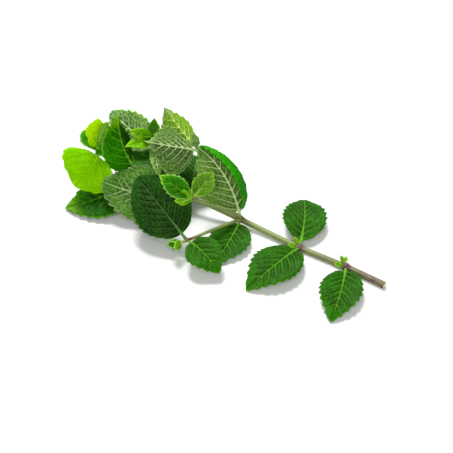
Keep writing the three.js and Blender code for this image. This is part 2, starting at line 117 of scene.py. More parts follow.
# Each side shoot: its line from the main stem to its tip, its large leaves, other small leaves at its tip,
# and the crown of small leaves round its tip: the lengths of its pairs, how far they open, how far the
# first pair is turned, and the look of them.
Shoot = namedtuple("Shoot", "name line leaves small lengths opening turn look")
SmallLeaf = namedtuple("SmallLeaf", "tip face width look")
SIDE_SHOOTS = [
    Shoot(
        "side_shoot_2_low",
        [(4, 3, 4.6), (2, -9, 8.6), (-2, -21, 10.4), (-8.6, -33.5, 9.8), (-10.5, -37, 9.8)],
        [
            Leaf("shoot_2_low_leaf_left", 3, (-54, -17, 25), (0.13, -0.54, 0.83), 36,
                 10, 22, 0.1, 0.12, 0, 0.7, 0.66, "dark"),
            Leaf("shoot_2_low_leaf_right", 3, (19, -42, 5), (0, -0.2, 0.97), 22,
                 22, 22, 0.16, 0.1, 0.04, 0.5, 0.95, "mature"),
        ],
        [], (10, 7), 36, 30, "bright",
    ),
    Shoot(
        "side_shoot_2_top",
        [(4, 4, 6), (-1, -2, 13), (-7, -11, 21), (-14.5, -20, 28.5)],
        [],
        [
            SmallLeaf((-35, -21.5, 37.5), (0.2, -0.5, 0.8), 13, "bright"),
            SmallLeaf((-13, 1, 34), (0.3, -0.7, 0.6), 13, "limed"),
        ],
        (11, 7), 50, 60, "fresh",
    ),
    Shoot(
        "side_shoot_3_front",
        [(-29, -0.4, 11), (-37.5, 2, 14.5), (-50.5, 5, 19), (-59.2, 8.3, 25), (-60, 7.5, 34)],
        [
            Leaf("shoot_3_front_leaf", 3, (-96, 13.5, 37), (0.16, -0.5, 0.8), 24,
                 -4, 14, 0.2, 0.1, 0, 0.7, 0.7, "veined"),
            Leaf("shoot_3_front_leaf_low", 1.9, (-76.5, 7.5, 19.5), (0.1, -0.1, 0.99), 22,
                 6, 12, 0.16, 0.1, 0, 0.5, 0.9, "mature"),
        ],
        [
            SmallLeaf((-66, -12, 39), (0.2, -0.5, 0.8), 9, "fresh"),
            SmallLeaf((-69, -3.5, 44.5), (0.3, -0.5, 0.8), 9, "fresh"),
            SmallLeaf((-41.8, -12.8, 26), (0.5, -0.6, 0.6), 8, "veined"),
        ],
        (14, 10), 38, 155, "upright",
    ),
    Shoot(
        "side_shoot_3_back",
        [(-27.5, 0.8, 10), (-30, 9, 13.5), (-34, 15.5, 21), (-36, 19.5, 29), (-36.8, 19.2, 32)],
        [
            Leaf("shoot_3_back_leaf_upper", 3, (-61, 21, 49.5), (-0.62, 0.14, -0.77), 22,
                 16, 12, 0.55, 0.12, 0.02, 0.6, 1.1, "limed"),
            Leaf("shoot_3_back_leaf_front", 2.9, (-53.5, -9.5, 46.5), (-0.74, -0.09, -0.66), 32,
                 -16, -14, 0.45, 0.05, -0.05, 0.6, 1.6, "pale"),
        ],
        [], (9, 6), 30, 20, "veined",
    ),
]
GROWING_TIP = Shoot(
    "growing_tip", None, [],
    [
        SmallLeaf((-87.6, -8.4, 49), (-0.6, 0.6, -0.4), 14, "lemon"),
        SmallLeaf((-82.5, -6, 47), (-0.5, 0.3, -0.6), 11, "fresh"),
        SmallLeaf((-78.5, -14.5, 30), (0.3, -0.6, 0.7), 9, "bright"),
    ],
    (7, 5), 40, 60, "young",
)

SMALL_LEAF = dict(rise=12, droop=16, fold=0.3, curl=0.15, sway=0, wave=0.3, point=1)
CROWN_LEAF = dict(rise=-10, droop=-12, fold=0.35, curl=0.1, sway=0, wave=0.2, point=1)
CROWN_LEAF_WIDTH = 0.62  # of its length
CROWN_PAIR_SPACING = 1.2
CROWN_CLOSING = 0.3  # how much less each pair opens than the one below it

# ---- What only the fine pieces have. Shares across a blade are of its half width, from the midrib. ----

LARGE_GRID = (144, 84)  # rows along a large blade and columns across it
PLAIN_GRID = (110, 60)  # of the large blades that show least
SMALL_GRID = (72, 40)
CROWN_GRID = (40, 22)
STALK_ROWS = 0.09  # of a blade's rows, on the stalk
FEWEST_STALK_ROWS = 4
ROW_SPACING = (0.45, 0.55)  # shares of even rows and of rows that are closer at both ends
COLUMN_POWER = 1.12  # above 1, the columns are closer at the midrib

FINE_BLADE_THICKNESS = 0.36
THIN_FROM = 0.9  # where a blade begins to thin towards its margin
MARGIN_THINNING = 0.45
SMALLEST_THICKNESS = 0.75  # share of the thickness that the smallest blade has
POINT_HALF_WIDTH = 0.12
STALK_HALF_AT_ROOT = 1.2
STALK_HALF_AT_BLADE = 0.8
STALK_TAPER = 0.6  # share of the stalk that narrows
FEWEST_TEETH = 3
TOOTHED_FROM = (0.03, 0.12)  # shares of the blade's length between which its teeth begin
TOOTHED_TO = (0.97, 1)
TOOTH_BAND = (0.8, 1)  # shares between which the teeth bend the margin
NOTCH_DEPTH = 1.15  # of a tooth's depth
TOOTH_FORWARD = 0.9
FOLD_SOFTNESS = 0.004
DRIFT_WAVES = 4  # the slow waves of a blade, which differ from leaf to leaf
DRIFT_LENGTHS = (3.5, 7)
DRIFT_SLANT = 2.5
DRIFT_HEIGHT = 0.13
ROLL_BEND = 0.1  # share that the blade takes to bend into a rolled margin

MIDRIB_HEIGHT = (0.95, 0.16)  # of the ridge under a full-sized leaf, at the stalk and at the tip
MIDRIB_HALF_WIDTH = (0.72, 0.36)
MIDRIB_GROOVE = 0.28
STALK_RIDGE = 0.3  # how far the midrib stands out above the stalk
SIDE_VEIN_SPACING = 4.6
SIDE_VEINS_SHARE = 0.78  # of the blade's length, that has side veins
FIRST_SIDE_VEIN = 0.015  # share of the blade's length
SIDE_VEIN_SPAN = 0.8
PLACE_SCATTER = 0.4
ANGLE_SCATTER = 3
SIDE_VEIN_HALF_WIDTH = 0.38
SIDE_VEIN_HEIGHT = 0.5
SIDE_VEIN_GROOVE = 0.25
SIDE_VEIN_ANGLES = (66, 38)  # to the midrib, at the blade's base and near its tip
SIDE_VEIN_BENDING = (1.5, 0.9)  # degrees a millimetre, towards the tip
SIDE_VEIN_REACH = 0.97
BRANCHES = ((0.42, 1, 0.6), (0.7, 1, 0.5), (0.62, -1, 0.5))  # share of the vein, side and strength
BRANCH_ANGLE = 26
BRANCH_SCATTER = 5
BRANCH_BENDING = 1.2  # of its side vein's
BRANCH_REACH = 0.96
VEIN_STEP = 0.7
MOST_VEIN_STEPS = 200
VEIN_END_STRENGTH = 0.3
SWELL_HEIGHT = 0.7  # of the blade between two side veins
SWELL_REACH = 1.7
NET_CELL = (1.35, 2.2)  # of the net of small veins, along the midrib and along the side veins
NET_UNEVENNESS = 0.42
SCATTER_FACTORS = ((127.1, 311.7), (269.5, 183.3))  # these and the next give uneven numbers
SCATTER_SCALE = 43758.5453
NET_SLANT = 0.8
NET_HEIGHT = 0.3
NET_HALF_WIDTH = 0.24
RIM_WIDTH = 0.9
PAINTED_VEIN_SHADE_STRENGTH = 1.6  # of the shade painted beside the veins
SHEET_UNIT = 10.0  # millimetres in one unit of the flat sheet that materials are laid out on

STEM_SIDES = 40
SHOOT_SIDES = 24
SQUARENESS = 5.0  # power of the stem's rounded square
STEM_STEP = 0.6
FLAT_HOLLOW = 0.07  # share of the half width that each flat is hollowed by
RING_REACH = 0.55  # along the stem, of the ring at each joint
RING_HEIGHT = 0.22
BLUSH_LENGTH = 70  # along the stem, from the cut end
JOINT_BLUSH_REACH = 3.5
# The rows of the cut end, from its middle outwards: the share of the half width, how far in they lie, and
# how much of the pale inside shows.
CUT_END = ((0.05, 0.1, 1), (0.5, 0.04, 1), (0.8, 0.0, 1), (0.93, 0.03, 0.8), (1.0, 0.12, 0.1))
SHOOT_JOINT_SWELLING = 0.28  # of the half width
SHOOT_JOINT_REACH = 0.05  # share of the shoot's length, as the next one is
SHOOT_BLUSH_REACH = 0.1

# The tiny shoots in the axils of the lowest leaves, each an opening pair of leaves.
AXILS = ((0, -1), (0, 1), (1, -1), (1, 1))  # the joint and the side of the stem
AXIL_LEAN = (0.8, 0.75, 0.6)  # along the stem, outwards and upwards
AXIL_REACH = 1.3  # from the stem's skin to the pair
AXIL_SHOOT = dict(line=None, leaves=[], small=[], lengths=(5.5,), opening=30, turn=40, look="fresh")

UP = (0, 0, 1)


def smoothstep(low, high, x):
    t = np.clip((x - low) / (high - low), 0, 1)
    return t * t * (3 - 2 * t)


def plateau(rise, fall, x):
    """1 between two slopes and 0 outside them."""
    return smoothstep(*rise, x) * (1 - smoothstep(*fall, x))


def bell(x, reach):
    """1 where x is 0, and near 0 beyond twice the reach."""
    return np.exp(-((x / reach) ** 2))


def lerp(a, b, t):
    return a + (b - a) * t


def unit(v):
    v = np.asarray(v, float)
    return v / np.linalg.norm(v, axis=-1, keepdims=True)


def turned(v, axis, angle):
    """v turned about a unit axis."""
    v, axis = np.asarray(v, float), np.asarray(axis, float)
    along = axis * np.dot(axis, v)
    return along + (v - along) * math.cos(angle) + np.cross(axis, v) * math.sin(angle)


def run_along(points):
    """The distance along a line of points, at each of them."""
    return np.concatenate([[0], np.cumsum(np.linalg.norm(np.diff(points, axis=0), axis=1))])


def seeded(name):
    return np.random.default_rng(zlib.crc32(name.encode()))


# ---- Curves ----

CURVE_SAMPLES = 400
TANGENT_STEP = 1e-4


class SmoothLine:
    """A centripetal Catmull-Rom curve. A station is a whole number at each point."""

    def __init__(self, points):
        p = np.array(points, float)
        self.ends = len(p) - 1
        self.points = np.vstack([2 * p[0] - p[1], p, 2 * p[-1] - p[-2]])

    def at(self, stations):
        stations = np.clip(np.atleast_1d(np.asarray(stations, float)), 0, self.ends)
        i = np.minimum(stations.astype(int), self.ends - 1)
        w = (stations - i)[:, None]
        x0, x1, x2, x3 = (self.points[i + k] for k in range(4))
        d0, d1, d2 = (
            np.sqrt(np.linalg.norm(b - a, axis=1))[:, None] for a, b in ((x0, x1), (x1, x2), (x2, x3))
        )
        t1 = ((x1 - x0) / d0 - (x2 - x0) / (d0 + d1) + (x2 - x1) / d1) * d1
        t2 = ((x2 - x1) / d1 - (x3 - x1) / (d1 + d2) + (x3 - x2) / d2) * d1
        return x1 + w * (t1 + w * ((-3 * x1 + 3 * x2 - 2 * t1 - t2) + w * (2 * x1 - 2 * x2 + t1 + t2)))

    def tangent(self, stations):
        stations = np.atleast_1d(np.asarray(stations, float))
        return unit(self.at(stations + TANGENT_STEP) - self.at(stations - TANGENT_STEP))

    def stations_every(self, step):
        """Stations about step millimetres apart."""
        fine = np.linspace(0, self.ends, CURVE_SAMPLES)
        run = run_along(self.at(fine))
        count = max(2, round(run[-1] / step) + 1)
        return np.interp(np.linspace(0, run[-1], count), run, fine)


stem_underside = SmoothLine(STEM_LINE)
joint_points = np.array([STEM_LINE[j] for j in JOINTS], float)


def stem_at(stations):
    """The main stem's middles, directions and half widths, and how far each is from the nearest joint."""
    points = stem_underside.at(stations)
    to_joint = np.linalg.norm(points[:, None] - joint_points[None], axis=2).min(1)
    share = np.atleast_1d(stations) / stem_underside.ends
    swelling = JOINT_SWELLING * np.maximum(0, 1 - to_joint / JOINT_REACH)
    half = lerp(STEM_HALF_AT_CUT, STEM_HALF_AT_TIP, share) + swelling
    middles = points.copy()
    middles[:, 2] = np.maximum(0, points[:, 2]) + half
    return middles, stem_underside.tangent(stations), half, to_joint


def midrib_of(leaf, root):
    """The line of a leaf's midrib as a function of the distance along it, and its length."""
    root, tip = np.asarray(root, float), np.array(leaf.tip, float)
    chord = np.linalg.norm(tip - root)
    along = (tip - root) / chord
    side = unit(np.cross(leaf.face, along))
    leaving = turned(along, side, -math.radians(leaf.rise))
    arriving = turned(along, side, math.radians(leaf.droop))
    sweep = side * leaf.sway * chord
    a, d = root, tip
    b = root + leaving * MIDRIB_REACH * chord + sweep
    c = tip - arriving * MIDRIB_REACH * chord + sweep

    def point_at(t):
        return (1 - t) ** 3 * a + 3 * (1 - t) ** 2 * t * b + 3 * (1 - t) * t * t * c + t**3 * d

    t = np.linspace(0, 1, CURVE_SAMPLES + 1)[:, None]
    run = run_along(point_at(t))

    def at(distance):
        u = np.interp(distance, run, t[:, 0])[:, None]
        forward = (1 - u) ** 2 * (b - a) + 2 * (1 - u) * u * (c - b) + u * u * (d - c)
        return point_at(u), unit(forward)

    return at, run[-1]


# ---- Veins, on a blade laid flat: x along the midrib and y away from it ----


def outline_half(leaf, share):
    """Half the width of a blade without its teeth, at a share of its length."""
    share = np.clip(share, 0, 1)
    swell = np.sin(np.pi * share ** (math.log(0.5) / math.log(WIDEST_AT)))
    return leaf.width / 2 * np.maximum(swell, 0) ** lerp(BASE_FULLNESS, leaf.point, share)


def grow_vein(leaf, start, heading, bending, weight, blade_length, reach):
    """A vein from start to near the margin, as points with the vein's strength at each."""
    points, (x, y) = [], start
    for _ in range(MOST_VEIN_STEPS):
        points.append((x, y))
        heading -= bending * VEIN_STEP
        x += math.cos(heading) * VEIN_STEP
        y += math.sin(heading) * VEIN_STEP
        if x > blade_length or y > reach * outline_half(leaf, x / blade_length):
            break
    points.append((x, y))
    return np.array(points), weight * np.linspace(1, VEIN_END_STRENGTH, len(points))


def half_blade_veins(leaf, blade_length, rng):
    """The side veins of one half of a blade and their branches."""
    count = max(3, round(SIDE_VEINS_SHARE * blade_length / SIDE_VEIN_SPACING))
    veins = []
    for k in range(count):
        share = k / count
        place = FIRST_SIDE_VEIN + SIDE_VEIN_SPAN * share**1.12
        start = (blade_length * place + rng.uniform(-PLACE_SCATTER, PLACE_SCATTER), 0.0)
        angle = lerp(*SIDE_VEIN_ANGLES, share**0.7) + rng.uniform(-ANGLE_SCATTER, ANGLE_SCATTER)
        heading = math.radians(angle)
        bending = math.radians(lerp(*SIDE_VEIN_BENDING, share)) * FULL_SIZED_LEAF / (blade_length + 12)
        trunk, strength = grow_vein(leaf, start, heading, bending, 1.0, blade_length, SIDE_VEIN_REACH)
        veins.append((trunk, strength))
        for place, side, weight in BRANCHES:
            n = int(place * len(trunk))
            if n < 2 or n + 2 > len(trunk):
                continue
            way = trunk[n] - trunk[n - 1]
            spread = BRANCH_ANGLE + rng.uniform(-BRANCH_SCATTER, BRANCH_SCATTER)
            turn = math.atan2(way[1], way[0]) + side * math.radians(spread)
            bend = side * bending * BRANCH_BENDING
            veins.append(grow_vein(leaf, trunk[n], turn, bend, weight, blade_length, BRANCH_REACH))
    return veins


def vein_masks(x, y, veins, half_width):
    """How much of a vein there is at each point, and how near one is."""
    vein, near = np.zeros(len(x)), np.zeros(len(x))
    here = np.stack([x, y], 1)[:, None]
    rows = np.arange(len(x))
    for points, strength in veins:
        a, b = points[:-1][None], points[1:][None]
        way = b - a
        t = np.clip(((here - a) * way).sum(2) / np.maximum((way * way).sum(2), 1e-9), 0, 1)
        gap = np.linalg.norm(here - a - t[..., None] * way, axis=2)
        nearest = gap.argmin(1)
        d, w = gap[rows, nearest], strength[nearest]
        vein = np.maximum(vein, w * bell(d, half_width * (0.55 + 0.45 * w)))
        near = np.maximum(near, w * bell(d, SWELL_REACH))
    return vein, near


def scattered(i, j, seed, factors):
    """An uneven number from -1 to 1 for each pair of whole numbers."""
    return 2 * (np.sin(i * factors[0] + j * factors[1] + seed) * SCATTER_SCALE % 1) - 1


def net_distance(x, y, cell, seed):
    """The distance to the edge of the nearest cell of an uneven net."""
    p, q = x / cell[0], y / cell[1]
    i, j = np.floor(p).astype(int), np.floor(q).astype(int)
    nearest, second = np.full(len(x), 9.0), np.full(len(x), 9.0)
    for di in (-1, 0, 1):
        for dj in (-1, 0, 1):
            a, b = i + di, j + dj
            centre_p = a + 0.5 + NET_UNEVENNESS * scattered(a, b, seed, SCATTER_FACTORS[0])
            centre_q = b + 0.5 + NET_UNEVENNESS * scattered(a, b, seed, SCATTER_FACTORS[1])
            d = np.hypot(centre_p - p, centre_q - q)
            second = np.where(d < nearest, nearest, np.minimum(second, d))
            nearest = np.minimum(nearest, d)
    return (second - nearest) / 2 * min(cell)


# ---- Patches: points with their faces, materials, marks and places on a flat sheet ----

# A leaf's marks are vein, net, rim and share of its length, and its hollow is how much shade is
# painted beside its veins. A stem's marks are its blush, its corners and its cut face.
Patch = namedtuple("Patch", "points quads material marks hollow sheet materials")


def grid_quads(rows, columns, start=0, flip=False):
    """Quads of a grid of points, which runs row by row."""
    i, j = np.meshgrid(np.arange(rows - 1), np.arange(columns - 1), indexing="ij")
    a = (start + i * columns + j).ravel()
    quads = np.stack([a, a + 1, a + columns + 1, a + columns], 1)
    return quads[:, ::-1] if flip else quads


def strip_quads(first, second):
    """Quads between two lines of points with the same number in each."""
    return np.stack([first[:-1], first[1:], second[1:], second[:-1]], 1)


def closed_sheet_quads(rows, columns):
    """Quads of two sheets of points joined at their edges, with the lower sheet's ones in material 1."""
    total = rows * columns
    index = np.arange(total).reshape(rows, columns)
    outside = [
        grid_quads(rows, columns),
        strip_quads(index[:, 0], index[:, 0] + total),
        strip_quads(index[:, -1] + total, index[:, -1]),
        strip_quads(index[0] + total, index[0]),
        strip_quads(index[-1], index[-1] + total),
    ]
    lower = grid_quads(rows, columns, total, flip=True)
    upper_count = sum(map(len, outside))
    return np.vstack([*outside, lower]), np.repeat([0, 1], [upper_count, len(lower)])


# ---- Leaves ----

# A blade laid flat, as a grid of rows along it and columns across it. Its share is of its length, at each
# row, and its v is the column's place from -1 at the left margin to 1 at the right one. Its y is the
# distance from the midrib, and along is the one from its base.
Blade = namedtuple("Blade", "leaf size length share v half y along")
# What there is of each kind of vein at each point, and how near a side vein is.
Veins = namedtuple("Veins", "side near net midrib midrib_half inner")


def row_places(rows, stalk, blade_length):
    """A leaf's rows as shares of its blade, all 0 on the stalk, and as distances along its midrib."""
    stalk_rows = max(FEWEST_STALK_ROWS, round(rows * STALK_ROWS))
    t = np.linspace(0, 1, rows)
    share = ROW_SPACING[0] * t + ROW_SPACING[1] * (0.5 - 0.5 * np.cos(np.pi * t))
    on_stalk = np.linspace(0, stalk, stalk_rows, endpoint=False)
    return (
        np.concatenate([np.zeros(stalk_rows), share]),
        np.concatenate([on_stalk, stalk + share * blade_length]),
    )


def notch_at(share, teeth):
    """1 in the notch between two teeth and 0 at a tooth's point, which leans towards the leaf's tip."""
    place = (share * teeth) % 1
    point = (1 + TOOTH_LEAN) / 2
    rising = 1 - (place / point) ** 0.75
    falling = (np.maximum(place - point, 0) / (1 - point)) ** 0.6
    return np.where(place < point, rising, falling)


def toothed_blade(leaf, size, length, share, columns, stalk_half, teeth):
    """The blade laid flat, and how far its teeth lean forward at each point."""
    even = np.linspace(-1, 1, columns)
    v = (np.sign(even) * np.abs(even) ** COLUMN_POWER)[None]
    half = np.maximum(outline_half(leaf, share), stalk_half * (1 - smoothstep(0.5, 1, share)))
    half = np.maximum(half, POINT_HALF_WIDTH)[:, None]
    s = share[:, None]
    toothed = plateau(TOOTHED_FROM, TOOTHED_TO, s)
    tooth_size = TOOTH_DEPTH * size * np.minimum(1, half / (0.2 * leaf.width))
    notch = notch_at(s, teeth) * toothed
    ramp = smoothstep(*TOOTH_BAND, np.abs(v)) ** 1.5
    y = v * half - np.sign(v) * NOTCH_DEPTH * notch * tooth_size * ramp
    lean = TOOTH_FORWARD * (1 - notch) * toothed * tooth_size * ramp
    return Blade(leaf, size, length, s, v, half, y, s * length), lean


def blade_lift(blade, rng):
    """How far each point lies above the flat: the fold, the curl, the margin's waves and slow waves."""
    leaf, v = blade.leaf, blade.v
    flat = np.minimum(v, ROLL_FROM) if leaf.roll else v
    soft = np.sqrt(flat * flat + FOLD_SOFTNESS) - math.sqrt(FOLD_SOFTNESS)
    slope = blade.half * (leaf.fold * soft - leaf.curl * flat * flat)
    phase = np.where(v > 0, MARGIN_PHASES[1], MARGIN_PHASES[0])
    ends = plateau((0, 0.1), (0.9, 1), blade.share)
    ripple = leaf.wave * flat * flat * np.sin(2 * np.pi * MARGIN_WAVES * blade.share + phase) * ends
    drift = sum(
        np.sin(
            blade.along / rng.uniform(*DRIFT_LENGTHS)
            + v * rng.uniform(-DRIFT_SLANT, DRIFT_SLANT)
            + rng.uniform(0, 6.3)
        )
        for _ in range(DRIFT_WAVES)
    )
    return slope + ripple + DRIFT_HEIGHT * blade.size * drift * ends * (0.3 + np.abs(v))


def blade_veins(blade, rng):
    leaf, size, s, v, y = blade.leaf, blade.size, blade.share, blade.v, blade.y
    side, near = np.zeros(y.shape), np.zeros(y.shape)
    along = np.broadcast_to(blade.along, y.shape)
    for sign in (-1, 1):
        chosen = np.broadcast_to(v * sign > 0, y.shape) & (s > 0)
        veins = half_blade_veins(leaf, blade.length, rng)
        found = vein_masks(along[chosen], np.abs(y)[chosen], veins, SIDE_VEIN_HALF_WIDTH * size**0.4)
        side[chosen], near[chosen] = found
    cell = (NET_CELL[0] * size**0.5, NET_CELL[1] * size**0.5)
    slanted = (along - NET_SLANT * np.abs(y)).ravel()
    edge = net_distance(slanted, y.ravel(), cell, rng.uniform(0, 50)).reshape(y.shape)
    midrib_half = lerp(*MIDRIB_HALF_WIDTH, s**0.7) * size
    inner = smoothstep(0, 0.05, s) * (1 - smoothstep(0.86, 1, np.abs(v))) * np.minimum(1, blade.half / 3)
    return Veins(side, near, bell(edge, NET_HALF_WIDTH), bell(y, midrib_half), midrib_half, inner)


def relief(blade, veins):
    """How far the blade swells, and how far its skins then stand out above and below."""
    size, s = blade.size, blade.share
    bulge = SWELL_HEIGHT * (1 - veins.near) + NET_HEIGHT * (1 - veins.net)
    swell = bulge * veins.inner * (1 - 0.8 * veins.midrib) * size**0.6
    on_stalk = 1 - smoothstep(0, 0.12, s)
    above = lerp(-MIDRIB_GROOVE, STALK_RIDGE, on_stalk) * size * veins.midrib
    above = above - SIDE_VEIN_GROOVE * veins.side * veins.inner
    ridge = lerp(*MIDRIB_HEIGHT, np.minimum(1, s * 1.5) ** 0.5) * size * veins.midrib
    side_ridge = SIDE_VEIN_HEIGHT * veins.side * (0.35 + 0.65 * veins.inner) * size**0.5
    below = ridge + side_ridge + 0.5 * NET_HEIGHT * veins.net * veins.inner
    return swell, above, below


def rolled(blade, lift):
    """The distances from the midrib and the lifts of a blade whose right margin is rolled under."""
    y = blade.y
    bent = smoothstep(ROLL_FROM - ROLL_BEND, ROLL_FROM + ROLL_BEND, blade.v)
    turn = math.radians(blade.leaf.roll) * bent + 0 * y
    steps, turns = np.diff(y, axis=1), (turn[:, 1:] + turn[:, :-1]) / 2
    first = np.zeros((len(y), 1))
    out = y[:, :1] + np.cumsum(np.hstack([first, steps * np.cos(turns)]), axis=1)
    return out, lift - np.cumsum(np.hstack([first, steps * np.sin(turns)]), axis=1), turn


def sheet_normals(points, facing):
    """The normals of a grid of points, on the side that it faces."""
    normal = np.cross(np.gradient(points, axis=0), np.gradient(points, axis=1))
    normal = unit(np.where(np.linalg.norm(normal, axis=2, keepdims=True) < 1e-9, facing, normal))
    return np.where((normal * facing).sum(2, keepdims=True) < 0, -normal, normal)


def blade_marks(blade, veins):
    """What the materials read: the marks, the shade painted beside the veins and the places on the flat
    sheet.
    """
    s, y = blade.share, blade.y
    rim = bell(blade.half * (1 - np.abs(blade.v)), RIM_WIDTH) * (s > 0)
    strong = np.maximum(veins.side * 0.85, veins.midrib)
    marks = np.stack([strong, veins.net * veins.inner, rim, np.broadcast_to(s, y.shape)], 2)
    # Where shade is painted: beside the side veins and beside the midrib.
    beside_side = np.clip(veins.near - veins.side, 0, 1) * veins.inner
    beside_midrib = 0.5 * bell(y, 3.2 * veins.midrib_half) * (1 - veins.midrib)
    hollow = np.clip(PAINTED_VEIN_SHADE_STRENGTH * (beside_side + beside_midrib), 0, 1)
    sheet = np.stack([blade.along + 0 * y, y], 2) / SHEET_UNIT
    return marks.reshape(-1, 4), hollow.ravel(), sheet.reshape(-1, 2)


def leaf_patch(leaf, root, grid, tooth_pitch):
    """A leaf as one closed skin with its stalk, veins and teeth."""
    rng = seeded(leaf.name)
    teeth = max(FEWEST_TEETH, round(np.linalg.norm(np.subtract(leaf.tip, root)) / tooth_pitch))
    midrib_at, length = midrib_of(leaf, root)
    size = min(1, length / FULL_SIZED_LEAF)
    stalk = STALK_LENGTH * size
    share, distance = row_places(grid[0], stalk, length - stalk)
    centre, forward = midrib_at(distance)
    across = unit(np.cross(leaf.face, forward))
    upward = np.cross(forward, across)

    narrowing = smoothstep(0, STALK_TAPER * stalk, distance)
    stalk_half = size * lerp(STALK_HALF_AT_ROOT, STALK_HALF_AT_BLADE, narrowing)
    blade, lean = toothed_blade(leaf, size, length - stalk, share, grid[1], stalk_half, teeth)
    lift = blade_lift(blade, rng)
    veins = blade_veins(blade, rng)
    out, lift, turn = rolled(blade, lift)
    middle = centre[:, None] + across[:, None] * out[..., None] + upward[:, None] * lift[..., None]
    middle = middle + forward[:, None] * lean[..., None]
    facing = upward[:, None] * np.cos(turn)[..., None] + across[:, None] * np.sin(turn)[..., None]
    normal = sheet_normals(middle, facing)

    swell, above, below = relief(blade, veins)
    thinned = 1 - MARGIN_THINNING * smoothstep(THIN_FROM, 1, np.abs(blade.v))
    thick = FINE_BLADE_THICKNESS * thinned * lerp(SMALLEST_THICKNESS, 1, size)
    upper = middle + normal * (swell + thick / 2 + above)[..., None]
    lower = middle + normal * (swell - thick / 2 - below)[..., None]
    points = np.vstack([upper.reshape(-1, 3), lower.reshape(-1, 3)])
    quads, material = closed_sheet_quads(len(share), grid[1])
    marks, hollow, sheet = blade_marks(blade, veins)
    return Patch(
        points, quads, material, np.vstack([marks, marks]), np.concatenate([hollow, hollow]),
        np.vstack([sheet, sheet]), [leaf.look + "_upper", leaf.look + "_under"],
    )


def large_leaf_patch(leaf, root):
    return leaf_patch(leaf, root, PLAIN_GRID if leaf.look == "mature" else LARGE_GRID, TOOTH_PITCH)


def crown_patches(shoot, tip, axis):
    """The small leaves round a growing tip, in pairs that turn by a quarter and close towards the middle."""
    start = unit(np.cross(UP, axis))
    patches = []
    for pair, length in enumerate(shoot.lengths):
        opening = math.radians(shoot.opening * (1 - CROWN_CLOSING * pair))
        root = tip + axis * CROWN_PAIR_SPACING * (pair - 1)
        for half_turn in (0, 180):
            outward = turned(start, axis, math.radians(shoot.turn + 90 * pair + half_turn))
            end = root + (axis * math.cos(opening) + outward * math.sin(opening)) * length
            face = axis * math.sin(opening) - outward * math.cos(opening)
            leaf = Leaf(
                f"{shoot.name}_{pair}_{half_turn}", 0, tuple(end), tuple(face), CROWN_LEAF_WIDTH * length,
                look=shoot.look, **CROWN_LEAF,
            )
            patches.append(leaf_patch(leaf, root, CROWN_GRID, SMALL_TOOTH_PITCH))
    for k, small in enumerate(shoot.small):
        leaf = Leaf(
            f"{shoot.name}_small_{k}", 0, small.tip, small.face, small.width, look=small.look, **SMALL_LEAF
        )
        patches.append(leaf_patch(leaf, tip - axis, SMALL_GRID, SMALL_TOOTH_PITCH))
    return patches


def axil_patches():
    """The tiny shoots in the lowest axils."""
    patches = []
    for joint, side in AXILS:
        middles, forwards, halves, _ = stem_at(JOINTS[joint])
        outward = unit(np.cross(UP, forwards[0])) * side
        axis = unit(np.stack([forwards[0], outward, UP], 1) @ AXIL_LEAN)
        shoot = Shoot(name=f"axil_{joint}_{side}", **AXIL_SHOOT)
        patches += crown_patches(shoot, middles[0] + axis * (halves[0] + AXIL_REACH), axis)
    return patches


# ---- Stems ----


def swept_stem(middles, forwards, halves, sides, blush, cut, material):
    """A rounded square swept along a line, with closed ends."""
    side = unit(np.cross(UP, forwards))
    upward = np.cross(forwards, side)
    angle = 2 * np.pi * (np.arange(sides) + 0.5) / sides
    cosine, sine = np.cos(angle), np.sin(angle)
    reach = (np.abs(cosine) ** SQUARENESS + np.abs(sine) ** SQUARENESS) ** (-1 / SQUARENESS)
    corner = np.abs(np.sin(2 * angle)) ** 2
    reach = reach * (1 - FLAT_HOLLOW * (1 - corner) ** 2)
    across = (halves[:, None] * (reach * cosine)[None])[..., None] * side[:, None]
    over = (halves[:, None] * (reach * sine)[None])[..., None] * upward[:, None]
    points = (middles[:, None] + across + over).reshape(-1, 3)
    rows = len(middles)
    index = np.arange(rows * sides).reshape(rows, sides)
    closed = np.hstack([index, index[:, :1]])
    body = np.vstack([strip_quads(closed[r], closed[r + 1])[:, ::-1] for r in range(rows - 1)])
    k = np.arange(sides // 2 - 1)
    cap = np.stack([k, k + 1, sides - 2 - k, sides - 1 - k], 1)
    quads = np.vstack([body, cap, index[-1][cap][:, ::-1]])
    sheet = np.stack(np.broadcast_arrays(run_along(middles)[:, None], angle[None]), 2) / SHEET_UNIT
    mark = np.zeros((rows, sides, 4))
    mark[..., 0] = blush[:, None]
    mark[..., 1] = corner[None]
    mark[..., 2] = cut[:, None]
    return Patch(
        points, quads, np.zeros(len(quads), int), mark.reshape(-1, 4), np.zeros(len(points)),
        sheet.reshape(-1, 2), [material],
    )


def main_stem_patch():
    middles, forwards, half, to_joint = stem_at(stem_underside.stations_every(STEM_STEP))
    half = half + RING_HEIGHT * bell(to_joint, RING_REACH)
    blush = 0.9 * np.clip(1 - run_along(middles) / BLUSH_LENGTH, 0, 1)
    blush = blush + 0.7 * bell(to_joint, JOINT_BLUSH_REACH)
    shrink, inset, cut = np.array(CUT_END).T
    rows = len(CUT_END)
    return swept_stem(
        np.vstack([middles[0] + forwards[0] * inset[:, None], middles[1:]]),
        np.vstack([np.repeat(forwards[:1], rows, 0), forwards[1:]]),
        np.concatenate([half[0] * shrink, half[1:]]),
        STEM_SIDES,
        np.concatenate([np.repeat(blush[0], rows), blush[1:]]),
        np.concatenate([cut, np.zeros(len(half) - 1)]),
        "stem_skin",
    )


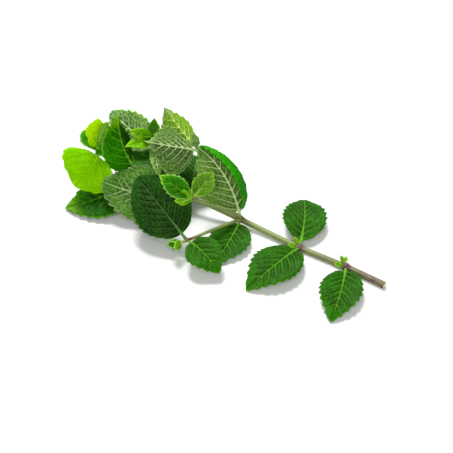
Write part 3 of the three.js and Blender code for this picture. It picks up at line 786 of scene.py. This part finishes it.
def shoot_stem_patch(shoot):
    line = SmoothLine(shoot.line)
    stations = line.stations_every(STEM_STEP)
    share = stations / line.ends
    half = lerp(SHOOT_HALF_AT_ROOT, SHOOT_HALF_AT_TIP, share)
    leafy = [leaf.at / line.ends for leaf in shoot.leaves] or [1.0]
    near = np.min([np.abs(share - place) for place in leafy], axis=0)
    half = half * (1 + SHOOT_JOINT_SWELLING * bell(near, SHOOT_JOINT_REACH))
    blush = 0.85 * bell(near, SHOOT_BLUSH_REACH) + 0.3 * (1 - share)
    middles, forwards = line.at(stations), line.tangent(stations)
    return swept_stem(middles, forwards, half, SHOOT_SIDES, blush, np.zeros(len(half)), "shoot_skin")


# ---- Materials ----


def colour(hex_code):
    """A linear colour from a written one."""
    parts = [int(hex_code[i:i + 2], 16) / 255 for i in (0, 2, 4)]
    return tuple(c / 12.92 if c <= 0.04045 else ((c + 0.055) / 1.055) ** 2.4 for c in parts) + (1.0,)


class Tree:
    """Short calls for a material's node tree."""

    def __init__(self, name):
        self.material = bpy.data.materials.new(name)
        self.material.use_nodes = True
        self.tree = self.material.node_tree
        self.tree.nodes.clear()

    def add(self, kind, settings=(), **inputs):
        node = self.tree.nodes.new("ShaderNode" + kind)
        for key, value in dict(settings).items():
            setattr(node, key, value)
        for key, value in inputs.items():
            self.set(node.inputs[key.replace("_", " ")], value)
        return node

    def set(self, socket, value):
        if isinstance(value, bpy.types.NodeSocket):
            self.tree.links.new(value, socket)
        else:
            socket.default_value = value

    def math(self, operation, a, b=0.0, clamp=False):
        node = self.add("Math", {"operation": operation, "use_clamp": clamp})
        self.set(node.inputs[0], a)
        self.set(node.inputs[1], b)
        return node.outputs[0]

    def times(self, a, b, clamp=False):
        return self.math("MULTIPLY", a, b, clamp)

    def mix(self, factor, a, b):
        return self.add("Mix", {"data_type": "RGBA"}, Factor=factor, A=a, B=b).outputs["Result"]

    def stretch(self, value, low, high, to_low=0.0, to_high=1.0):
        """A smooth step from to_low, where the value is low, to to_high."""
        steps = dict(Value=value, From_Min=low, From_Max=high, To_Min=to_low, To_Max=to_high)
        return self.add("MapRange", {"interpolation_type": "SMOOTHSTEP"}, **steps).outputs["Result"]

    def noise(self, vector, scale, detail=3.0, roughness=0.55):
        node = self.add("TexNoise", Vector=vector, Scale=scale, Detail=detail, Roughness=roughness)
        return node.outputs["Fac"]

    def marks(self):
        """The four marks of a piece's points."""
        node = self.add("Attribute", {"attribute_name": "marks"})
        split = self.add("SeparateColor", Color=node.outputs["Color"])
        return [split.outputs[k] for k in ("Red", "Green", "Blue")] + [node.outputs["Alpha"]]

    def finish(self, shader):
        self.add("OutputMaterial", Surface=shader)
        return self.material


# Each look: the colours of the blade's deep and light places, of its veins, its rim, its tip end (a painted
# sheen on the veined upper side and painted shade on the rolled underside) and the light that passes through
# it, how strongly its veins and its net show, how rough it is, how much light passes through, how glossy it
# is, how much shade is painted beside its veins, and how much shade is painted on its right half.
Look = namedtuple("Look", "colours veins net rough through gloss hollow side", defaults=[0])
LOOKS = {
    "mature_upper": Look("104600 247008 6cac3c 488824 287410 5fa010", 0.65, 0.14, 0.42, 0.14, 0.12, 0.6),
    "mature_under": Look("467820 609432 a0c46c 7aa050 6a9c3c 6fae20", 0.9, 0.5, 0.6, 0.14, 0.1, 0.4),
    "dark_upper": Look("061e03 1c4c0c 5c8c48 6c9850 12420c 1f5c08", 0.3, 0.22, 0.42, 0.06, 0.05, 0.7),
    "dark_under": Look("346020 4c7a30 8cac64 749a50 548034 4f8a20", 0.9, 0.5, 0.6, 0.08, 0.08, 0.4),
    "faded_upper": Look("2a6c06 64a02e c4e898 b0a888 1a6a02 5fa818", 1.0, 0.3, 0.5, 0.14, 0.06, 0.95, 0.15),
    "faded_under": Look("507c28 68943c a0c478 84a860 6a9c3c 6fae20", 0.9, 0.5, 0.6, 0.14, 0.1, 0.4),
    "glossy_upper": Look("084800 1a6c00 5ca428 64a030 88c040 4f9a08", 0.75, 0.1, 0.34, 0.12, 0.12, 0.5, 0.2),
    "glossy_under": Look("427026 5c9034 94b868 7aa050 6a9c48 5f9a20", 0.9, 0.5, 0.6, 0.12, 0.1, 0.4),
    "upright_upper": Look("166002 2c840c 70ac40 64a834 4c9c20 5fa010", 0.7, 0.3, 0.45, 0.14, 0.12, 0.5),
    "upright_under": Look(
        "126c00 32940a 84c848 84c44c ace044 5fb008", 0.65, 0.12, 0.5, 0.14, 0.06, 0.5, 0.85
    ),
    "rolled_upper": Look("188400 34ac04 4cb424 3cac14 38a808 5fc000", 0.3, 0.2, 0.45, 0.2, 0.1, 0.5),
    # The rolled underside's dark tip colour is painted shade.
    "rolled_under": Look("447e1c 88b84c d4f0a4 9cc868 1c5808 6fae20", 1.0, 0.3, 0.6, 0.18, 0.04, 0.8),
    # The veined upper side's blue-grey tip colour is a painted sheen.
    "veined_upper": Look("226c04 72b62a dcfcb0 a8d070 3c7c4c 74c418", 1.0, 0.45, 0.5, 0.2, 0.06, 1.0),
    "veined_under": Look("4e842c 689c3c a4c880 88b05c 6a9c3c 6fae20", 0.9, 0.5, 0.6, 0.16, 0.1, 0.4),
    "limed_upper": Look("266400 468008 98c458 8cbc50 70a030 60a808", 0.85, 0.35, 0.5, 0.16, 0.08, 0.6),
    "limed_under": Look("5c9c08 88c420 d4f084 a4cc58 bcd498 88cc18", 1.0, 0.45, 0.6, 0.24, 0.04, 0.5),
    "pale_upper": Look("206206 3a8018 78a848 689c3c 4c8c24 5fa010", 0.6, 0.35, 0.5, 0.14, 0.12, 0.5),
    "pale_under": Look("285e06 588e20 c8e49c a0c070 8cac74 60981c", 1.0, 0.36, 0.62, 0.14, 0.04, 0.9),
    "fresh_upper": Look("5ab000 7cc808 b0dc58 9cd048 84c818 98dc00", 0.8, 0.4, 0.45, 0.24, 0.1, 0.5),
    "fresh_under": Look("68b408 88c824 b4dc70 a0cc54 90cc34 98dc08", 0.8, 0.4, 0.55, 0.24, 0.08, 0.4),
    "bright_upper": Look("0a5a00 2c9404 84d040 a4d46c 84bc1c 5fc000", 0.55, 0.12, 0.42, 0.18, 0.1, 0.6),
    "bright_under": Look("5aa40c 84c828 b4e068 a8dc64 84c840 84d818", 0.8, 0.15, 0.55, 0.22, 0.08, 0.5),
    # The young look's bright yellow-green is partly a young leaf's own colour and partly painted light
    # shining through it.
    "young_upper": Look("7cc400 9ce000 b0e428 a4dc18 a4dc00 b4f800", 0.5, 0.2, 0.5, 0.38, 0.05, 0.4),
    "young_under": Look("84c808 9cdc10 b8e43c a8dc24 9cdc10 b4f800", 0.5, 0.2, 0.55, 0.4, 0.05, 0.3),
    "lemon_upper": Look("b0dc00 c8f000 d0f02c c0e818 bce400 d0ff00", 0.3, 0.1, 0.5, 0.4, 0.05, 0.1),
    "lemon_under": Look("b0dc00 c8f004 d4f038 c4ec20 c0ec08 d0ff00", 0.3, 0.1, 0.52, 0.4, 0.05, 0.1),
}
GLOSS_TINT = (0.8, 1.0, 0.5, 1.0)
SHADE = 0.25  # of the deep colour, painted as shade in a blade's darkest places
SATURATION = 1.06  # of every leaf, and the next one too, to match the photo's colours in this light
BRIGHTNESS = 1.1
BLOTCH_SCALE = 0.9  # of the lighter blotches, in cells to a unit of the flat sheet
SPECKLE_SCALE = 14.0
THREAD_SCALE = 11.0  # of the finest net, which is only colour and bump
THREAD_WIDTH = 0.1
TIP_COLOUR_FROM = 0.7  # share of the blade's length
LEAF_BUMP = 0.00014  # metres
STEM_BUMP = 0.00012
PITH = ("cdbf8e", "e6dcb8")


def blade_colour(t, look, sheet, speckle, threads, marks, deep, light, vein_colour, rim_colour, tip_colour):
    vein, net, rim, share = marks
    hollow = t.add("Attribute", {"attribute_name": "hollow"}).outputs["Fac"]
    blotches = t.stretch(t.noise(sheet, BLOTCH_SCALE, 4.0), 0.3, 0.7)
    mottle = t.math("ADD", blotches, t.times(t.math("SUBTRACT", speckle, 0.5), 0.7), True)
    body = t.mix(mottle, deep, light)

    # Painted shade on the right half, where the veins show less.
    shade = tuple(SHADE * c for c in deep[:3]) + (1.0,)
    sideways = t.add("SeparateXYZ", Vector=sheet).outputs["Y"]
    shaded = t.times(t.stretch(sideways, -0.05, 0.05), look.side)
    shown = t.math("SUBTRACT", 1.0, t.times(shaded, 0.7))
    body = t.mix(shaded, body, shade)

    # Towards the tip end, the tip colour: a painted sheen on the veined upper side and painted shade on the
    # rolled underside.
    body = t.mix(t.stretch(share, TIP_COLOUR_FROM, 1.0, 0.0, 0.9), body, tip_colour)
    # Shade painted beside the veins and the midrib.
    body = t.mix(t.times(hollow, look.hollow, True), body, shade)
    fine = t.math("MAXIMUM", t.stretch(net, 0.25, 0.9), t.times(threads, 0.4))
    fine = t.times(t.times(fine, 0.75 * look.net, True), shown)
    body = t.mix(fine, body, vein_colour)
    body = t.mix(t.times(rim, 0.85), body, rim_colour)
    strong = t.times(t.times(t.stretch(vein, 0.15, 0.95), look.veins, True), shown)
    body = t.mix(strong, body, vein_colour)

    # The midrib is paler and wider near the stalk.
    beside_midrib = t.times(t.math("ABSOLUTE", sideways), t.stretch(share, 0.0, 0.4, 1.0, 2.4))
    near_stalk = t.times(t.stretch(beside_midrib, 0.04, 0.13, 1.0, 0.0), t.stretch(share, 0.0, 0.5, 0.9, 0.0))
    body = t.mix(near_stalk, body, vein_colour)
    body = t.add("HueSaturation", Saturation=SATURATION, Value=BRIGHTNESS, Color=body)
    return body.outputs["Color"]


def leaf_material(name, look):
    t = Tree(name)
    sheet = t.add("TexCoord").outputs["UV"]
    speckle = t.noise(sheet, SPECKLE_SCALE, 3.0, 0.6)
    cells = t.add("TexVoronoi", {"feature": "DISTANCE_TO_EDGE"}, Vector=sheet, Scale=THREAD_SCALE)
    threads = t.stretch(cells.outputs["Distance"], 0.0, THREAD_WIDTH, 1.0, 0.0)
    *blade_colours, glow = (colour(code) for code in look.colours.split())
    marks = t.marks()
    body = blade_colour(t, look, sheet, speckle, threads, marks, *blade_colours)

    height = t.math("SUBTRACT", t.times(speckle, 0.5), t.times(threads, 0.5))
    bump = t.add("Bump", Strength=0.6, Distance=LEAF_BUMP, Height=height).outputs["Normal"]
    rough = t.stretch(speckle, 0.3, 0.7, look.rough - 0.06, look.rough + 0.1)
    gloss = dict(Specular_IOR_Level=look.gloss, Specular_Tint=GLOSS_TINT)
    skin = t.add("BsdfPrincipled", Base_Color=body, Roughness=rough, Normal=bump, **gloss)
    passed = t.mix(t.times(marks[0], 0.5), glow, blade_colours[0])
    through = t.add("BsdfTranslucent", Color=passed, Normal=bump)
    both = t.add("MixShader")
    for socket, value in zip(both.inputs, (look.through, skin.outputs[0], through.outputs[0])):
        t.set(socket, value)
    return t.finish(both.outputs[0])


def stem_material(name, deep, light, blush_colour, corner_colour):
    t = Tree(name)
    blush, corner, cut, _ = t.marks()
    sheet = t.add("TexCoord").outputs["UV"]
    lengthways = t.add("Mapping", Vector=sheet, Scale=(0.5, 14.0, 1.0)).outputs["Vector"]
    fibres = t.noise(lengthways, 6.0, 5.0, 0.6)
    blotches = t.noise(sheet, 2.2, 4.0)
    body = t.mix(t.stretch(fibres, 0.3, 0.7), colour(deep), colour(light))
    body = t.mix(t.times(corner, 0.35), body, colour(corner_colour))
    uneven = t.times(blush, t.stretch(blotches, 0.25, 0.65, 0.35, 1.15), True)
    body = t.mix(uneven, body, colour(blush_colour))
    pith = t.mix(t.stretch(blotches, 0.35, 0.65), colour(PITH[0]), colour(PITH[1]))
    body = t.mix(cut, body, pith)
    bump = t.add("Bump", Strength=0.5, Distance=STEM_BUMP, Height=fibres).outputs["Normal"]
    rough = t.stretch(fibres, 0.3, 0.7, 0.42, 0.58)
    skin = t.add("BsdfPrincipled", Base_Color=body, Roughness=rough, Normal=bump, Sheen_Weight=0.1)
    return t.finish(skin.outputs[0])


materials = {name: leaf_material("mint_" + name, look) for name, look in LOOKS.items()}
materials["stem_skin"] = stem_material("mint_stem_skin", "5d7a2c", "86a04a", "5a2f38", "8a6a4c")
materials["shoot_skin"] = stem_material("mint_shoot_skin", "6a8a38", "93ae5c", "7a3f34", "9aae6a")

# ---- Pieces ----


def new_object(name, data):
    thing = bpy.data.objects.new(name, data)
    bpy.context.scene.collection.objects.link(thing)
    return thing


def fill(data, field, values, kind=np.float32):
    data.foreach_set(field, np.asarray(values, kind).ravel())


def make_piece(name, patches, node):
    """One object from patches, which stands for a CAD node."""
    names = sorted({m for patch in patches for m in patch.materials})
    starts = np.concatenate([[0], np.cumsum([len(p.points) for p in patches])])
    quads = np.vstack([p.quads + start for p, start in zip(patches, starts)])
    slots = np.concatenate([np.array([names.index(m) for m in p.materials])[p.material] for p in patches])
    fields = ("points", "marks", "hollow", "sheet")
    points, marks, hollow, sheet = (np.concatenate([getattr(p, field) for p in patches]) for field in fields)

    mesh = bpy.data.meshes.new(name)
    mesh.vertices.add(len(points))
    fill(mesh.vertices, "co", (points - OUTLINE_MIDDLE) * MM)
    mesh.loops.add(4 * len(quads))
    fill(mesh.loops, "vertex_index", quads, np.int32)
    mesh.polygons.add(len(quads))
    fill(mesh.polygons, "loop_start", np.arange(0, 4 * len(quads), 4), np.int32)
    fill(mesh.polygons, "material_index", slots, np.int32)
    fill(mesh.polygons, "use_smooth", np.ones(len(quads)), bool)
    mesh.update(calc_edges=True)
    fill(mesh.attributes.new("marks", "FLOAT_COLOR", "POINT").data, "color", np.clip(marks, 0, 1))
    fill(mesh.attributes.new("hollow", "FLOAT", "POINT").data, "value", hollow)
    fill(mesh.uv_layers.new(name="sheet").data, "uv", sheet[quads.ravel()])
    for material in names:
        mesh.materials.append(materials[material])
    mesh.validate()

    piece = new_object(name, mesh)
    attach(piece, "root")
    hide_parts(node)


make_piece("fine_main_stem", [main_stem_patch(), *axil_patches()], "main_stem")
for leaf in STEM_LEAVES:
    root = stem_at(JOINTS[leaf.at])[0][0]
    make_piece("fine_" + leaf.name, [large_leaf_patch(leaf, root)], leaf.name)

end_middle, end_forward, _, _ = stem_at(stem_underside.ends)
bud_middle = end_middle[0] + end_forward[0] * (BUD_RADIUS + GROWTH_GAP)
tip_patches = crown_patches(GROWING_TIP, bud_middle, end_forward[0])
make_piece("fine_growing_tip", tip_patches, "growing_tip")

for shoot in SIDE_SHOOTS:
    line = SmoothLine(shoot.line)
    tip, axis = line.at(line.ends)[0], line.tangent(line.ends)[0]
    patches = [shoot_stem_patch(shoot), *crown_patches(shoot, tip, axis)]
    make_piece("fine_" + shoot.name, patches, shoot.name)
    for leaf in shoot.leaves:
        make_piece("fine_" + leaf.name, [large_leaf_patch(leaf, line.at(leaf.at)[0])], leaf.name)

# ---- Floor, light and camera, in metres ----

FLOOR_REACH = 1.1
FLOOR_DROP = 0.0001  # below the surface that the sprig lies on
FLOOR_TONES = (0.86, 0.88)
SKY_LIGHT = 0.28
SKY_SEEN = 1.0  # to the camera, so that it is white beyond the floor
# Each light: its place, what it points at, its width and its watts.
LIGHTS = {
    "key": ((-0.5, 0.5, 1.1), (-0.04, 0, 0.02), 0.5, 19),
    "front": ((0.5, -0.9, 0.9), (0, 0, 0.02), 0.9, 10),
}

# The photo's view, worked out from the tray's outline.
CAMERA_AZIMUTH = math.radians(33.564)
CAMERA_ELEVATION = math.radians(41.174)
CAMERA_ROLL = math.radians(-0.642)
CAMERA_PLACE = np.array([271.4, -421.3, 441.1]) * MM
FOCAL_PIXELS = 1137.49
PRINCIPAL_POINT = (215.503, 223.919)
PICTURE_PIXELS = 453
SENSOR_WIDTH = 36.0


def put(name, data, axes, place):
    """A new object whose own axes point along three directions."""
    thing = new_object(name, data)
    rows = [[*row, at] for row, at in zip(np.stack(axes, 1), place)]
    thing.matrix_world = Matrix(rows + [[0, 0, 0, 1]])
    return thing


def make_floor():
    r = FLOOR_REACH
    mesh = bpy.data.meshes.new("floor")
    mesh.from_pydata([(-r, -r, 0), (r, -r, 0), (r, r, 0), (-r, r, 0)], [], [(0, 1, 2, 3)])
    t = Tree("floor_white")
    place = t.add("TexCoord").outputs["Object"]
    tone = t.mix(t.noise(place, 3.0), *((grey, grey, grey, 1) for grey in FLOOR_TONES))
    mesh.materials.append(t.finish(t.add("BsdfPrincipled", Base_Color=tone, Roughness=0.6).outputs[0]))
    floor = new_object("floor", mesh)
    floor.location.z = -FLOOR_DROP


def make_light(name, place, target, width, watts):
    data = bpy.data.lights.new(name, "AREA")
    data.shape = "DISK"
    data.size = width
    data.energy = watts
    backward = unit(np.subtract(place, target))
    side = unit(np.cross(UP, backward))
    put(name, data, (side, np.cross(backward, side), backward), place)


def make_world():
    world = bpy.data.worlds.new("studio")
    world.use_nodes = True
    tree = world.node_tree
    background = tree.nodes["Background"]
    background.inputs["Color"].default_value = (1.0, 1.0, 1.0, 1)
    strength = tree.nodes.new("ShaderNodeMapRange")
    strength.inputs["To Min"].default_value = SKY_LIGHT
    strength.inputs["To Max"].default_value = SKY_SEEN
    seen = tree.nodes.new("ShaderNodeLightPath").outputs["Is Camera Ray"]
    tree.links.new(seen, strength.inputs["Value"])
    tree.links.new(strength.outputs["Result"], background.inputs["Strength"])
    bpy.context.scene.world = world


def make_camera():
    data = bpy.data.cameras.new("camera")
    data.sensor_width = SENSOR_WIDTH
    data.lens = FOCAL_PIXELS / PICTURE_PIXELS * SENSOR_WIDTH
    data.shift_x = (PICTURE_PIXELS / 2 - PRINCIPAL_POINT[0]) / PICTURE_PIXELS
    data.shift_y = (PRINCIPAL_POINT[1] - PICTURE_PIXELS / 2) / PICTURE_PIXELS
    flat = math.cos(CAMERA_ELEVATION)
    back = np.array([
        math.sin(CAMERA_AZIMUTH) * flat, -math.cos(CAMERA_AZIMUTH) * flat, math.sin(CAMERA_ELEVATION)
    ])
    level = unit(np.cross(UP, back))
    right = level * math.cos(CAMERA_ROLL) + np.cross(back, level) * math.sin(CAMERA_ROLL)
    bpy.context.scene.camera = put("camera", data, (right, np.cross(back, right), back), CAMERA_PLACE)


make_floor()
make_world()
for name, settings in LIGHTS.items():
    make_light(name, *settings)
make_camera()
bpy.context.scene.view_settings.view_transform = "Standard"
